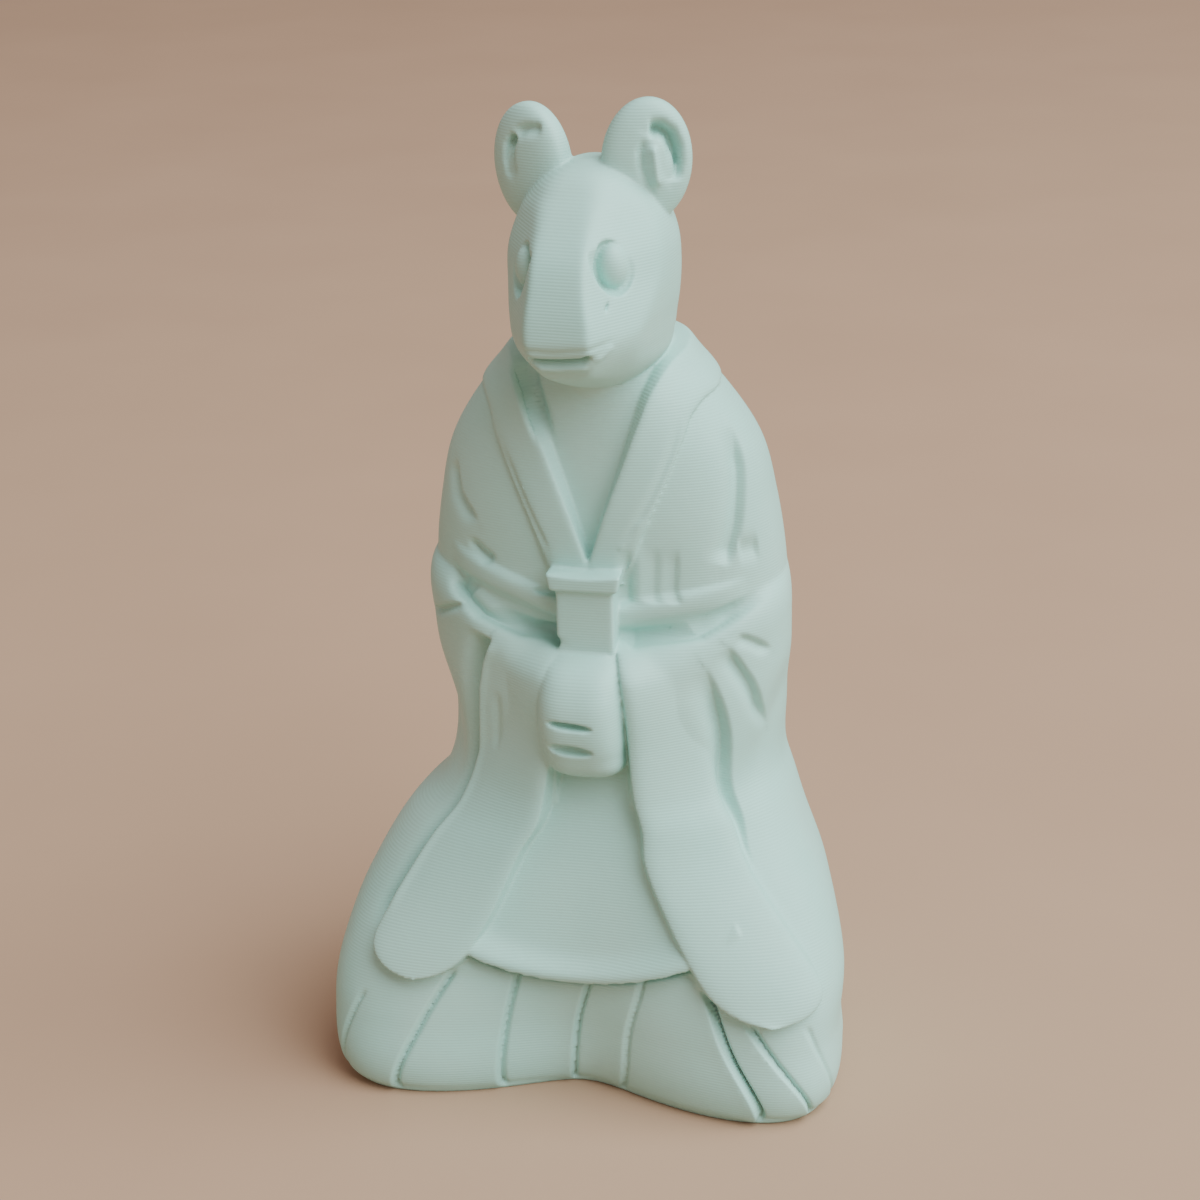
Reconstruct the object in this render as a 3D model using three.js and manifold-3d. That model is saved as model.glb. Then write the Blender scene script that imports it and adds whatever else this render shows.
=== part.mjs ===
// A zodiac rat as a kneeling courtier, printed in one piece: a rat's head on a robed body that sits
// back on its heels, wide sleeves that hang from the joined hands on to the lap, and an upright court
// tablet held in the hands. It stands on its flat underside, faces -Y and has +Z up.
import * as THREE from "three";
import { mergeVertices } from "three/addons/utils/BufferGeometryUtils.js";
import Module from "manifold-3d";

const wasm = await Module();
wasm.setup();

// Height from the underside to the tips of the ears, in millimetres. The pose, the proportions and the
// carving are shares of it: the height is cut into SHARES, and every other length here counts them.
const HEIGHT = 70.7;
const SHARES = 101;
const SHARE = HEIGHT / SHARES;

const SIDES = { left: 1, right: -1 }; // the figure's own left hand is towards +X
const { PI, sin, cos, abs, sign, sqrt, exp, max, min } = Math;
const degrees = (angle) => (angle * PI) / 180;
const mix = (a, b, t) => a + (b - a) * t;
const bump = (x, width) => exp(-((x / width) ** 2));
const smooth = (x) => {
  const t = min(max(x, 0), 1);
  return t * t * (3 - 2 * t);
};

// Smooth curves through measured levels. Each row names its values; the result gives them at any level.
function curves(key, rows) {
  const names = Object.keys(rows[0]).filter((name) => name !== key);
  const curve = new THREE.CubicInterpolant(
    rows.map((row) => row[key]),
    rows.flatMap((row) => names.map((name) => row[name])),
    names.length,
  );
  return (level) => {
    const values = curve.evaluate(level);
    return Object.fromEntries(names.map((name, i) => [name, values[i]]));
  };
}

// A closed skin over rings of points. place(item, along) gives the point for one item of the section,
// with along from 0 to 1 from the first ring to the last. Both end rings are closed to their centre.
function skin(section, rings, place) {
  const sides = section.length;
  const points = [];
  for (let ring = 0; ring <= rings; ring++) {
    points.push(...section.map((item) => place(item, ring / rings)));
  }
  const faces = [];
  for (let ring = 0; ring < rings; ring++) {
    for (let side = 0; side < sides; side++) {
      const here = ring * sides + side;
      const beside = ring * sides + ((side + 1) % sides);
      faces.push(here, beside, beside + sides, here, beside + sides, here + sides);
    }
  }
  for (const ring of [0, rings]) {
    const start = ring * sides;
    const centre = new THREE.Vector3();
    points.slice(start, start + sides).forEach((point) => centre.addScaledVector(point, 1 / sides));
    points.push(centre);
    for (let side = 0; side < sides; side++) {
      const edge = [start + side, start + ((side + 1) % sides)];
      faces.push(points.length - 1, ...(ring === 0 ? edge.reverse() : edge));
    }
  }
  return new THREE.BufferGeometry().setFromPoints(points).setIndex(faces);
}

// A geometry in shares of the height as a solid in millimetres, turned to face outwards. Points
// closer together than SAME_POINT millimetres become one.
const SAME_POINT = 1e-4;

function solid(geometry) {
  const shape = geometry.clone().scale(SHARE, SHARE, SHARE);
  const extras = Object.keys(shape.attributes).filter((name) => name !== "position");
  extras.forEach((name) => shape.deleteAttribute(name));
  const merged = mergeVertices(shape, SAME_POINT);
  const vertProperties = merged.attributes.position.array;
  const make = (triVerts) => new wasm.Manifold(new wasm.Mesh({ numProp: 3, vertProperties, triVerts }));
  const made = make(new Uint32Array(merged.index.array));
  return made.volume() < 0 ? make(new Uint32Array(merged.index.array).reverse()) : made;
}

const add = (...pieces) => pieces.reduce((whole, piece) => whole.add(piece));

// Angles round a form, from behind it round by its left: 0 is the front, and crowd draws them forwards.
const round = (count, crowd = 0) =>
  Array.from({ length: count }, (_, i) => {
    const turn = ((i + 0.5) / count) * 2 * PI - PI;
    return turn - crowd * sin(turn);
  });

// A flat strip's section: its outer face from one edge to the other, then its inner face back.
const strip = (count) => {
  const row = Array.from({ length: count }, (_, i) => -1 + (2 * i) / (count - 1));
  const outer = row.map((across) => ({ across, face: 1 }));
  const inner = row.map((across) => ({ across, face: 0 })).reverse();
  return [...outer, ...inner];
};

// The point at a height, an angle from the front and a distance from an upright axis.
const around = (turn, radius, z, y = 0) => new THREE.Vector3(radius * sin(turn), y - radius * cos(turn), z);

// The robe as outlines one above the other. half is half the width at the axis; front and back are the
// depths from it; valley is how far the skirt falls in between the knees; square makes the front boxier,
// flare widens the outline towards the knees and aside moves it over.
const robeOutline = curves("z", [
  { z: 0, half: 23.5, front: 24.8, back: 18.2, valley: 8.4, square: 5.2, flare: 0.65, aside: -0.3 },
  { z: 1.4, half: 24.4, front: 25.8, back: 19.0, valley: 8.4, square: 5.2, flare: 0.65, aside: -0.3 },
  { z: 8, half: 24.7, front: 24.3, back: 19.2, valley: 6.3, square: 4.6, flare: 0.8, aside: -0.8 },
  { z: 14, half: 24.1, front: 21.4, back: 18.6, valley: 3.4, square: 3.9, flare: 1.1, aside: -0.4 },
  { z: 20, half: 23.1, front: 18.0, back: 17.4, valley: 1.6, square: 3.3, flare: 1.0, aside: -0.4 },
  { z: 26, half: 20.7, front: 14.9, back: 15.8, valley: 0.6, square: 2.8, flare: 0.6, aside: -0.3 },
  { z: 29, half: 18.7, front: 13.4, back: 15.0, valley: 0.25, square: 2.6, flare: 0.3, aside: 0.6 },
  { z: 32, half: 17.6, front: 12.0, back: 14.2, valley: 0, square: 2.4, flare: 0, aside: 0.6 },
  { z: 38, half: 17.5, front: 10.2, back: 13.0, valley: 0, square: 2.3, flare: 0, aside: 0.8 },
  { z: 46, half: 18.0, front: 9.4, back: 12.3, valley: 0, square: 2.3, flare: 0, aside: 0.4 },
  { z: 53, half: 18.2, front: 9.8, back: 12.3, valley: 0, square: 2.3, flare: 0, aside: 0.1 },
  { z: 60, half: 17.3, front: 9.9, back: 12.4, valley: 0, square: 2.3, flare: 0, aside: 0 },
  { z: 66, half: 15.8, front: 9.4, back: 11.8, valley: 0, square: 2.2, flare: 0, aside: -0.1 },
  { z: 71, half: 12.7, front: 8.8, back: 10.3, valley: 0, square: 2.1, flare: 0, aside: -0.3 },
  { z: 75, half: 9.2, front: 8.2, back: 8.4, valley: 0, square: 2, flare: 0, aside: -0.4 },
  { z: 78.5, half: 6.9, front: 7.2, back: 6.6, valley: 0, square: 2, flare: 0, aside: -0.4 },
]);
const ROBE_TOP = 77;
const VALLEY_WIDTH = degrees(33);
const ROUND_BACK = 2.3; // the back stays close to an oval
const SQUARING = 0.3; // how far either side of the widest line the back turns into the boxier front

function robeRadius(turn, z) {
  const { half, front, back, valley, square } = robeOutline(z);
  const forward = smooth((cos(turn) + SQUARING) / (2 * SQUARING));
  const power = mix(ROUND_BACK, square, forward);
  const depth = cos(turn) > 0 ? front : back;
  const oval = (abs(sin(turn) / half) ** power + abs(cos(turn) / depth) ** power) ** (-1 / power);
  return oval - valley * bump(turn, VALLEY_WIDTH);
}

// A point of the robe's surface, or one standing proud of it.
function onRobe(turn, z, proud = 0) {
  const { flare, aside } = robeOutline(z);
  const place = around(turn, robeRadius(turn, z) + proud, z);
  place.x = aside + place.x * (1 - (flare * place.y) / 100);
  return place;
}

// Levels closer together near the ground, where the hem curves under.
const HEM_CROWD = 0.45;
const rise = (along) => ROBE_TOP * mix(along, along * along, HEM_CROWD);

const robeBody = () => solid(skin(round(44, 0.25), 22, (turn, along) => onRobe(turn, rise(along))));

// The hanging sleeves are thick tongues laid over the lap. down goes from 0 at the wrist to 1 at the
// tip; inner and outer are the angles of each sleeve's two edges from the front. thick is how far the
// inner edge stands out from the robe, and thin how far the outer one does.
const sleeveRun = curves("down", [
  { down: 0, innerLeft: 13, outerLeft: 42, innerRight: 13, outerRight: 43, thick: 5.2, thin: 3.2 },
  { down: 0.12, innerLeft: 14, outerLeft: 47.5, innerRight: 14, outerRight: 49, thick: 6.2, thin: 2.4 },
  { down: 0.3, innerLeft: 15.2, outerLeft: 52, innerRight: 16, outerRight: 51.5, thick: 5.2, thin: 1.9 },
  { down: 0.48, innerLeft: 18, outerLeft: 52, innerRight: 17.5, outerRight: 51, thick: 3.7, thin: 1.7 },
  { down: 0.64, innerLeft: 21.4, outerLeft: 49.5, innerRight: 18.8, outerRight: 47, thick: 2.9, thin: 1.6 },
  { down: 0.8, innerLeft: 24.8, outerLeft: 50, innerRight: 21.3, outerRight: 45, thick: 2.5, thin: 1.6 },
  { down: 0.92, innerLeft: 27.8, outerLeft: 51, innerRight: 23.8, outerRight: 43, thick: 2.3, thin: 1.7 },
  { down: 1, innerLeft: 30, outerLeft: 50, innerRight: 25, outerRight: 40, thick: 2.1, thin: 1.8 },
]);
const SLEEVE_TOP = 46.8;
const SLEEVE_LOW = { left: 11.2, right: 13.2 };
const SLEEVE_DEPTH = 8; // from the outer face in, so that its back lies well inside the robe
const TIP_START = 0.87;
const TIP_ROUND = 2.4;
const TIP_NARROW = 0.14; // the share of the squared width that is left at the very tip
const EDGE_ROUND = 0.35;
const TIP_CROWD = 0.5; // rows lie closer together towards the tip

// The angles of a sleeve's inner and outer edge.
const sleeveEdges = (name, { innerLeft, outerLeft, innerRight, outerRight }) =>
  name === "left" ? [innerLeft, outerLeft] : [innerRight, outerRight];

// across runs from -1 at the inner edge to 1 at the outer one. The edges and the tip are rounded.
function onSleeve(name, across, down, lift = 0) {
  const at = sleeveRun(down);
  const [inner, outer] = sleeveEdges(name, at);
  const beyond = max((down - TIP_START) / (1 - TIP_START), 0);
  const tip = sqrt(max(1 - beyond ** TIP_ROUND, TIP_NARROW));
  const turn = inner + ((outer - inner) / 2) * (1 + across * tip);
  const z = mix(SLEEVE_TOP, SLEEVE_LOW[name], down);
  const proud = mix(at.thick, at.thin, (across + 1) / 2) * (1 - EDGE_ROUND * abs(across) ** 4);
  return onRobe(SIDES[name] * degrees(turn), z, proud + lift);
}

function sleeve(name) {
  const place = ({ across, face }, along) => {
    const down = along * (1 + TIP_CROWD * (1 - along));
    return onSleeve(name, across, down, face ? 0 : -SLEEVE_DEPTH);
  };
  return solid(skin(strip(7), 13, place));
}

// The forearms, from the elbows down and inwards to the hands.
const FOREARM = { x: 9.6, y: -6.7, z: 45.2, long: 10.2, deep: 4.0, tall: 4.8, turn: 33, dip: 24 };

function forearm(name) {
  const side = SIDES[name];
  const shape = ball([0, 0, 0], [FOREARM.long, FOREARM.deep, FOREARM.tall], 14, 8);
  shape.rotateY(-side * degrees(FOREARM.dip)).rotateZ(side * degrees(FOREARM.turn));
  return solid(shape.translate(side * FOREARM.x, FOREARM.y, FOREARM.z));
}

// The robe's front panel hangs between the sleeves and ends in a lipped hem over the pleated skirt.
const PANEL_HALF = degrees(38);
const PANEL_TOP = 36;
const PANEL_PROUD = 0.9;
const LIP = { proud: 1.0, up: 0.8, tall: 1.3 };
const HEM = { low: 13.2, rise: 6 };
const INSET = 2.2; // how far the back of an applied form lies inside the robe
const panelHem = (across) => HEM.low + HEM.rise * across * across;

function frontPanel() {
  const place = ({ across, face }, along) => {
    const low = panelHem(across);
    const z = mix(low, PANEL_TOP, along * along);
    const lip = LIP.proud * bump(z - low - LIP.up, LIP.tall);
    return onRobe(across * PANEL_HALF, z, face ? PANEL_PROUD + lip : -INSET);
  };
  return solid(skin(strip(10), 7, place));
}

// The sash, a rounded band that dips from the elbows to the tablet and flattens out at its ends.
const SASH = { half: degrees(68), proud: 0.9, tall: 2.9, low: 48.0, curve: 1.2, end: 6, round: 4 };
const SASH_RISE = { left: 2.8, right: 5.2 };

function sashLow(across) {
  const lift = across > 0 ? SASH_RISE.left : SASH_RISE.right;
  return SASH.low + lift * abs(across) ** SASH.curve;
}

function sash() {
  const place = ({ across, face }, along) => {
    const fade = 1 - abs(across) ** SASH.end;
    const proud = SASH.proud * fade * (1 - abs(2 * along - 1) ** SASH.round);
    return onRobe(across * SASH.half, sashLow(across) + SASH.tall * along, face ? proud : -INSET);
  };
  return solid(skin(strip(12), 3, place));
}

// The collar: two bands from the nape to the point of the neck opening. Each band's inner edge runs at
// these angles and heights, and its width is laid off square to that edge, away from the opening.
const collarRun = curves("along", [
  { along: 0, turn: 0.6, z: 55.8 },
  { along: 0.15, turn: 9, z: 60.4 },
  { along: 0.3, turn: 19.5, z: 65.2 },
  { along: 0.44, turn: 31, z: 69.8 },
  { along: 0.56, turn: 43, z: 73.2 },
  { along: 0.66, turn: 62, z: 75.3 },
  { along: 0.76, turn: 95, z: 76.1 },
  { along: 0.88, turn: 138, z: 76.5 },
  { along: 1, turn: 181, z: 76.5 },
]);
const COLLAR = { width: 3.9, proud: 0.75, fade: 0.5 };
const NEAR = 0.01; // a small step for taking slopes

function collar(name) {
  const place = ({ across, face }, along) => {
    const here = collarRun(along);
    const [from, to] = [max(along - NEAR, 0), min(along + NEAR, 1)].map(collarRun);
    const radius = robeRadius(degrees(here.turn), here.z);
    const run = new THREE.Vector2(degrees(to.turn - from.turn) * radius, to.z - from.z).normalize();
    const width = COLLAR.width * (0.5 + 0.5 * across);
    const turn = degrees(here.turn) + (run.y * width) / radius;
    const proud = COLLAR.proud * (1 - COLLAR.fade * max(across, 0) ** 3);
    return onRobe(SIDES[name] * turn, here.z - run.x * width, face ? proud : -INSET);
  };
  return solid(skin(strip(4), 12, place));
}

// The neck opening is let into the robe down to the under-robe. Its sides run a little outside the
// collar's inner edges, which then cover them, and it stops before the nape.
const OPENING = { deep: 1.1, clear: 3, wider: 2, lower: 0.4, end: 0.74 };

function neckOpening() {
  const place = ({ across, face }, along) => {
    const { turn, z } = collarRun(OPENING.end * along);
    const proud = face ? OPENING.clear : -OPENING.deep;
    return onRobe(across * degrees(turn + OPENING.wider), z - OPENING.lower, proud);
  };
  return solid(skin(strip(9), 11, place));
}

const NECK = { low: 70, high: 84 };
const neckOutline = curves("z", [
  { z: 70, half: 6.6, front: 7.2, back: 6.4 },
  { z: 77, half: 6.2, front: 8.4, back: 5.6 },
  { z: 84, half: 5.6, front: 9.0, back: 3.2 },
]);

function neck() {
  const place = (turn, along) => {
    const z = mix(NECK.low, NECK.high, along);
    const { half, front, back } = neckOutline(z);
    const depth = cos(turn) > 0 ? front : back;
    return around(turn, 1 / sqrt((sin(turn) / half) ** 2 + (cos(turn) / depth) ** 2), z);
  };
  return solid(skin(round(16), 3, place));
}

// The head as outlines about an upright axis at HEAD_Y. Each is an oval cut flat by the bridge of the
// snout in front and by a cheek plane on each side, with the corners between them rounded.
const HEAD_Y = -4;
const CORNER = 22;
const SETTLE = { x: 0.5, pivot: 84, tilt: -4, turn: -5.5 }; // the head tilts and turns a little
const headOutline = curves("z", [
  { z: 73.4, half: 3.0, front: 4.6, back: 5.0, bridge: 6.0, cheek: 4.6, slant: 56 },
  { z: 74.6, half: 4.8, front: 8.2, back: 7.0, bridge: 9.2, cheek: 6.5, slant: 56 },
  { z: 76, half: 6.2, front: 11.6, back: 7.8, bridge: 11.6, cheek: 8.0, slant: 57 },
  { z: 78, half: 6.9, front: 16.4, back: 8.2, bridge: 13.2, cheek: 9.5, slant: 58 },
  { z: 79.8, half: 7.3, front: 19.0, back: 8.4, bridge: 14.3, cheek: 10.1, slant: 59 },
  { z: 81.5, half: 7.7, front: 19.0, back: 8.6, bridge: 14.2, cheek: 9.9, slant: 60 },
  { z: 84.5, half: 8.1, front: 18.0, back: 8.8, bridge: 13.3, cheek: 9.3, slant: 59 },
  { z: 87.5, half: 8.1, front: 16.0, back: 8.6, bridge: 11.8, cheek: 8.8, slant: 56 },
  { z: 90, half: 7.4, front: 13.0, back: 8.0, bridge: 9.6, cheek: 7.8, slant: 54 },
  { z: 92.5, half: 6.0, front: 9.4, back: 6.6, bridge: 7.0, cheek: 6.5, slant: 52 },
  { z: 94.4, half: 3.8, front: 5.4, back: 4.6, bridge: 4.6, cheek: 4.6, slant: 50 },
  { z: 95.4, half: 1.4, front: 1.8, back: 1.8, bridge: 2.2, cheek: 2.2, slant: 50 },
]);
const HEAD = { low: 73.4, top: 95.4 };

function onHead(turn, z) {
  const { half, front, back, bridge, cheek, slant } = headOutline(z);
  const depth = cos(turn) > 0 ? front : back;
  const oval = sqrt((sin(turn) / half) ** 2 + (cos(turn) / depth) ** 2);
  const planes = [
    cos(turn) / bridge,
    cos(turn - degrees(slant)) / cheek,
    cos(turn + degrees(slant)) / cheek,
  ].map((reach) => max(reach, 0) ** CORNER);
  const radius = (oval ** CORNER + planes.reduce((sum, plane) => sum + plane, 0)) ** (-1 / CORNER);
  return around(turn, radius, z, HEAD_Y);
}

// A form of the head, settled on to the neck.
const headSolid = (geometry) =>
  solid(
    geometry
      .translate(0, -HEAD_Y, -SETTLE.pivot)
      .rotateY(degrees(SETTLE.tilt))
      .rotateZ(degrees(SETTLE.turn))
      .translate(SETTLE.x, HEAD_Y, SETTLE.pivot),
  );

function skull() {
  const place = (turn, along) => onHead(turn, mix(HEAD.low, HEAD.top, 0.5 - 0.5 * cos(PI * along)));
  return headSolid(skin(round(30, 0.5), 14, place));
}

// A ball squashed to three half sizes, at a place.
function ball([x, y, z], [a, b, c], across = 12, up = 6) {
  const geometry = new THREE.SphereGeometry(1, across, up).rotateX(PI / 2);
  return geometry.scale(a, b, c).translate(x, y, z);
}

// The eyes are oval balls in oval sockets, set at an angle from the front.
const EYE = { turn: 27, z: 86.8, radius: 9.8, back: 0.6 };
const SOCKET = [2.2, 1.8, 2.9];
const EYEBALL = [1.5, 1.9, 2.1];

function facing(geometry, side) {
  const turn = side * degrees(EYE.turn);
  const { x, y } = around(turn, EYE.radius, EYE.z, HEAD_Y);
  return headSolid(geometry.rotateZ(turn).translate(x, y, EYE.z));
}
const socket = (side) => facing(ball([0, -EYE.back, 0], SOCKET), side);
const eyeball = (side) => facing(ball([0, EYE.back, 0], EYEBALL), side);

// The mouth is a thin slit across the end of the snout.
const MOUTH = { x: -0.1, y: -17.6, z: 78.3, half: 3.3, deep: 2.2, tall: 0.45 };
const mouth = () =>
  headSolid(ball([MOUTH.x, MOUTH.y, MOUTH.z], [MOUTH.half, MOUTH.deep, MOUTH.tall], 12, 4));

// An ear is a thick oval disc with a hollow let into its outer half and a ridge standing in the hollow.
// Lengths in it are across, towards the outer side, out to the front, and up.
const EAR = { x: 5.8, y: -3.8, z: 94.75, half: 4.4, tall: 6.1, thick: 2.1, turn: 20, edge: 0.7 };
const EAR_LEAN = { left: 8, right: 1 };
const EAR_HOLLOW = { across: 0.9, out: 2.1, up: 0.3, half: 2.6, tall: 4.2, deep: 2.1 };
const EAR_RIDGE = { across: -0.1, out: 0.8, up: -0.9, half: 0.9, tall: 3.2, deep: 1.3 };
const EAR_ROOT = { x: 4.4, y: -4.4, z: 92.4, half: 3.6, tall: 5.4, deep: 2.9, lean: 28 };

function ear(name) {
  const side = SIDES[name];
  const setUp = (geometry) =>
    headSolid(
      geometry
        .rotateY(side * degrees(EAR_LEAN[name]))
        .rotateZ(side * degrees(EAR.turn))
        .translate(side * EAR.x, EAR.y, EAR.z),
    );
  const disc = skin(round(14), 7, (turn, along) => {
    const [reach, level] = [sin(PI * along), cos(PI * along)];
    const out = EAR.thick * sign(level) * abs(level) ** EAR.edge;
    return new THREE.Vector3(EAR.half * reach * sin(turn), -out, EAR.tall * reach * cos(turn));
  });
  const [hollow, ridge] = [EAR_HOLLOW, EAR_RIDGE].map(({ across, out, up, half, tall, deep }) =>
    ball([side * across, -out, up], [half, deep, tall]),
  );
  const root = ball([0, 0, 0], [EAR_ROOT.half, EAR_ROOT.deep, EAR_ROOT.tall])
    .rotateY(side * degrees(EAR_ROOT.lean))
    .translate(side * EAR_ROOT.x, EAR_ROOT.y, EAR_ROOT.z);
  return setUp(disc).add(headSolid(root)).subtract(setUp(hollow)).add(setUp(ridge));
}

// The joined hands, a rounded block with two slots between the fingers.
const handOutline = curves("z", [
  { z: 33.7, x: 0.4, half: 1.8, front: 13.2 },
  { z: 34.5, x: 0.2, half: 3.5, front: 15.2 },
  { z: 37, x: -0.1, half: 4.3, front: 16.8 },
  { z: 40.5, x: -0.3, half: 4.5, front: 17.3 },
  { z: 43.4, x: -0.3, half: 4.4, front: 16.6 },
  { z: 45.5, x: -0.3, half: 4.1, front: 15.0 },
  { z: 46.7, x: -0.3, half: 3.8, front: 12.9 },
]);
const HANDS = { low: 33.7, top: 46.7, square: 3.2, back: 6 };

function handBlock() {
  const place = (turn, along) => {
    const z = mix(HANDS.low, HANDS.top, along);
    const { x, half, front } = handOutline(z);
    const depth = (front - HANDS.back) / 2;
    const reach = abs(sin(turn) / half) ** HANDS.square + abs(cos(turn) / depth) ** HANDS.square;
    const point = around(turn, reach ** (-1 / HANDS.square), z, -HANDS.back - depth);
    point.x += x;
    return point;
  };
  return solid(skin(round(18), 7, place));
}

const FINGER_SLOT = { x: -0.9, y: -17.4, levels: [40.7, 38], half: 2.6, deep: 1.5, tall: 0.5, dip: 5 };

function fingerSlot(z) {
  const { x, y, half, deep, tall, dip } = FINGER_SLOT;
  return solid(ball([0, 0, 0], [half, deep, tall], 12, 4).rotateY(degrees(dip)).translate(x, y, z));
}

const hands = () => handBlock().subtract(add(...FINGER_SLOT.levels.map(fingerSlot)));

// The court tablet, a flat bar that widens into a rolled cap.
const TABLET = { half: 2.8, front: -12.3, back: -8.6, low: 44, top: 53.6, rim: 0.3 };
const CAP = { half: 3.5, front: -12.9, back: -9.4, low: 53.4, top: 55.3, rim: 0.5 };

// An upright bar with its edges rounded by rim.
function bar({ half, front, back, low, top, rim }) {
  const outline = new THREE.Shape();
  outline.moveTo(-half, front).lineTo(half, front).lineTo(half, back).lineTo(-half, back).closePath();
  const geometry = new THREE.ExtrudeGeometry(outline, {
    depth: top - low - 2 * rim,
    bevelSize: rim,
    bevelThickness: rim,
    bevelOffset: -rim,
    bevelSegments: 2,
  });
  return solid(geometry.translate(0, 0, low + rim));
}
const tablet = () => add(bar(TABLET), bar(CAP));

// The way out of a surface made of two numbers, from its two slopes.
function wayOut(at, a, b) {
  const alongA = at(a + NEAR, b).sub(at(a - NEAR, b));
  const alongB = at(a, b + NEAR).sub(at(a, b - NEAR));
  return alongA.cross(alongB).normalize();
}

// A furrow in the robe: a wedge carried along a line between two places, each an angle from the front
// and a height. It is shallower and narrower at its ends.
const FURROW = { steps: 5, lift: 0.6, ends: 0.06, least: 0.15 };

function furrow({ from, to, wide, deep }) {
  const at = (along) => {
    const [turn, z] = [mix(from.turn, to.turn, along), mix(from.z, to.z, along)];
    return { point: onRobe(turn, z), out: wayOut(onRobe, turn, z) };
  };
  const place = (corner, along) => {
    const { point, out } = at(along);
    const ahead = at(along + NEAR).point.sub(at(along - NEAR).point).normalize();
    const across = ahead.cross(out).normalize();
    const fade = sqrt(max(sin(PI * mix(FURROW.ends, 1 - FURROW.ends, along)), FURROW.least));
    if (corner === 0) return point.addScaledVector(out, -deep * fade);
    return point.addScaledVector(out, FURROW.lift).addScaledVector(across, corner * wide * fade);
  };
  return solid(skin([0, 1, -1], FURROW.steps, place));
}

// The skirt's pleats: the angle from the front at the top and at the ground, and the height of the top.
const PLEAT = { wide: 0.9, deep: 0.8, low: 0.4 };
const PLEATS = [
  { from: -74, to: -79, top: 9 },
  { from: -43, to: -50, top: 11 },
  { from: -28.3, to: -37.5, top: 14 },
  { from: -15.3, to: -20.7, top: 14.5 },
  { from: 3.2, to: -4.3, top: 14 },
  { from: 16.4, to: 11, top: 14.6 },
  { from: 28, to: 37.5, top: 15 },
  { from: 35.3, to: 47.5, top: 11.2 },
  { from: 45.8, to: 55.5, top: 10.6 },
  { from: 72, to: 77, top: 9 },
  { from: 94, to: 98, top: 12 },
  { from: 126, to: 131, top: 14 },
  { from: 160, to: 163, top: 14 },
  { from: 195, to: 193, top: 15 },
  { from: 230, to: 226, top: 14 },
  { from: 258, to: 255, top: 11 },
];
const pleat = ({ from, to, top }) =>
  furrow({
    from: { turn: degrees(from), z: top },
    to: { turn: degrees(to), z: PLEAT.low },
    wide: PLEAT.wide,
    deep: PLEAT.deep,
  });

// On each side a groove runs down beside the sleeve's outer edge, a fold slants away at the elbow, and
// the crease between arm and chest lies above it.
const GROOVE = { top: 44.5, wide: 1.2, deep: 0.9 };
const GROOVE_TURN = { left: 53, right: 51 };
const GROOVE_LOW = { left: 26, right: 24 };
const ROBE_FOLDS = [
  { from: { turn: 57, z: 46.5 }, to: { turn: 76, z: 37.3 }, wide: 0.9, deep: 0.7 },
  { from: { turn: 72, z: 67 }, to: { turn: 60, z: 55.5 }, wide: 1.3, deep: 0.8 },
];

function robeFolds(name) {
  const aside = ({ turn, z }) => ({ turn: SIDES[name] * degrees(turn), z });
  const turn = GROOVE_TURN[name];
  const groove = { from: { turn, z: GROOVE.top }, to: { turn, z: GROOVE_LOW[name] } };
  return [{ ...GROOVE, ...groove }, ...ROBE_FOLDS].map(({ from, to, wide, deep }) =>
    furrow({ from: aside(from), to: aside(to), wide, deep }),
  );
}

function robe() {
  const furrows = [...PLEATS.map(pleat), ...Object.keys(SIDES).flatMap(robeFolds)];
  return add(robeBody(), sash())
    .subtract(neckOpening())
    .subtract(add(...furrows));
}

function head() {
  const sides = Object.values(SIDES);
  return add(skull(), ...Object.keys(SIDES).map(ear))
    .subtract(add(...sides.map(socket), mouth()))
    .add(add(...sides.map(eyeball)));
}

function figure() {
  const arms = Object.keys(SIDES).flatMap((name) => [sleeve(name), forearm(name), collar(name)]);
  return add(robe(), neck(), head(), frontPanel(), ...arms, tablet(), hands());
}

// A solid's faces as a flat-shaded mesh, set with the middle of its underside at the origin.
function meshOf(name, made, material) {
  const { vertProperties, triVerts, numProp } = made.getMesh();
  const geometry = new THREE.BufferGeometry();
  geometry.setAttribute("position", new THREE.BufferAttribute(vertProperties, numProp));
  geometry.setIndex(new THREE.BufferAttribute(triVerts, 1));
  geometry.computeBoundingBox();
  const { min: low, max: high } = geometry.boundingBox;
  geometry.translate(-(low.x + high.x) / 2, -(low.y + high.y) / 2, -low.z);
  geometry.computeVertexNormals();
  const mesh = new THREE.Mesh(geometry, material);
  mesh.name = name;
  return mesh;
}

const mintPlastic = new THREE.MeshStandardMaterial({ color: 0xb4cdc4, roughness: 0.55, metalness: 0 });

const group = new THREE.Group();
group.add(meshOf("zodiac_rat_figure", figure(), mintPlastic));
export default group;
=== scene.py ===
import math

import bpy
import numpy as np
from mathutils import Matrix, Vector


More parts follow.
